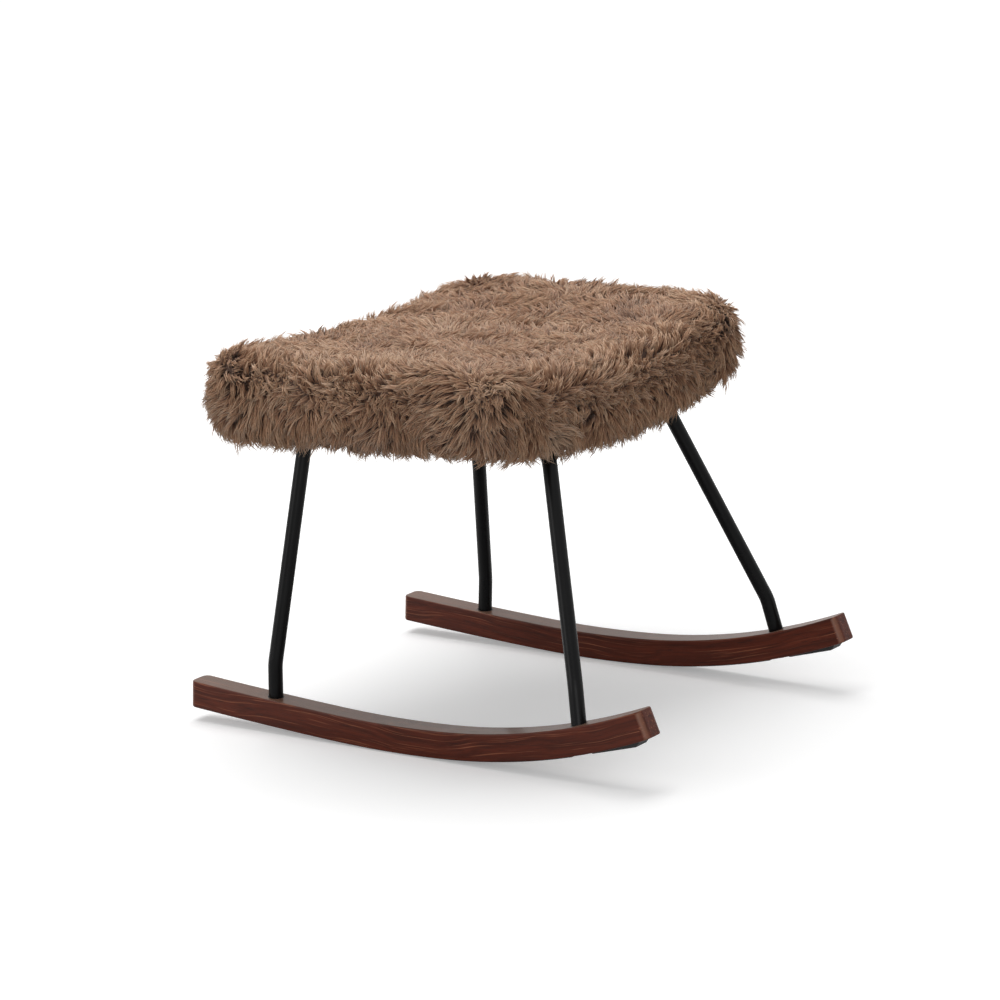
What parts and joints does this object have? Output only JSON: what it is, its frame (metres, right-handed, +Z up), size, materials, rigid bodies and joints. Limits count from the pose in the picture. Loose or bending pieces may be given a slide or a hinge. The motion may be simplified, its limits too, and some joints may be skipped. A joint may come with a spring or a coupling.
{
  "type": "rocking footstool",
  "caption": "Low rocking footstool: dished fur-covered seat pad on bent black steel tube legs, carried by dark wooden rockers that turn up at the front.",
  "frame": {"origin": "on the floor, in the middle of the footprint, with the stool at rest on its rockers", "axes": "+X towards the end where the rockers turn up, +Y to the stool's left, +Z up"},
  "size_m": [0.5984, 0.5244, 0.4275],
  "materials": {
    "rocker_wood": "dark reddish-brown stain, satin lacquer, open grain",
    "frame_steel": "black powder coat, satin",
    "socket_sleeve": "moulded black plastic, matt",
    "glide_felt": "pressed dark felt strip",
    "stop_rubber": "moulded dark rubber, matt",
    "zinc_steel": "zinc plated, dull",
    "birch_ply": "bent birch plywood, sanded, unlacquered",
    "dust_cloth": "black spun-bonded cloth",
    "pad_foam": "flexible cushion foam, cream",
    "pad_wadding": "white polyester wadding",
    "fur_cover": "long-pile brown fur, light tips, dark roots"
  },
  "bodies": {
    "root": {"rocker_left": "rocker_wood", "rocker_right": "rocker_wood", "side_tube_left": "frame_steel", "side_tube_right": "frame_steel", "cross_bar_rear": "frame_steel", "cross_bar_front": "frame_steel", "leg_sleeves": "socket_sleeve", "leg_end_plugs": "zinc_steel", "leg_bolts": "zinc_steel", "leg_washers": "zinc_steel", "seat_bolts": "zinc_steel", "seat_washers": "zinc_steel", "tee_nuts": "zinc_steel", "cover_staples": "zinc_steel", "dust_staples": "zinc_steel", "glide_strip_left": "glide_felt", "glide_strip_right": "glide_felt", "stop_pad_left": "stop_rubber", "stop_pad_right": "stop_rubber", "seat_board": "birch_ply", "dust_cover": "dust_cloth", "foam_core": "pad_foam", "wadding_layer": "pad_wadding", "fur_top_panel": "fur_cover", "fur_border_band": "fur_cover"}
  },
  "joints": []
}
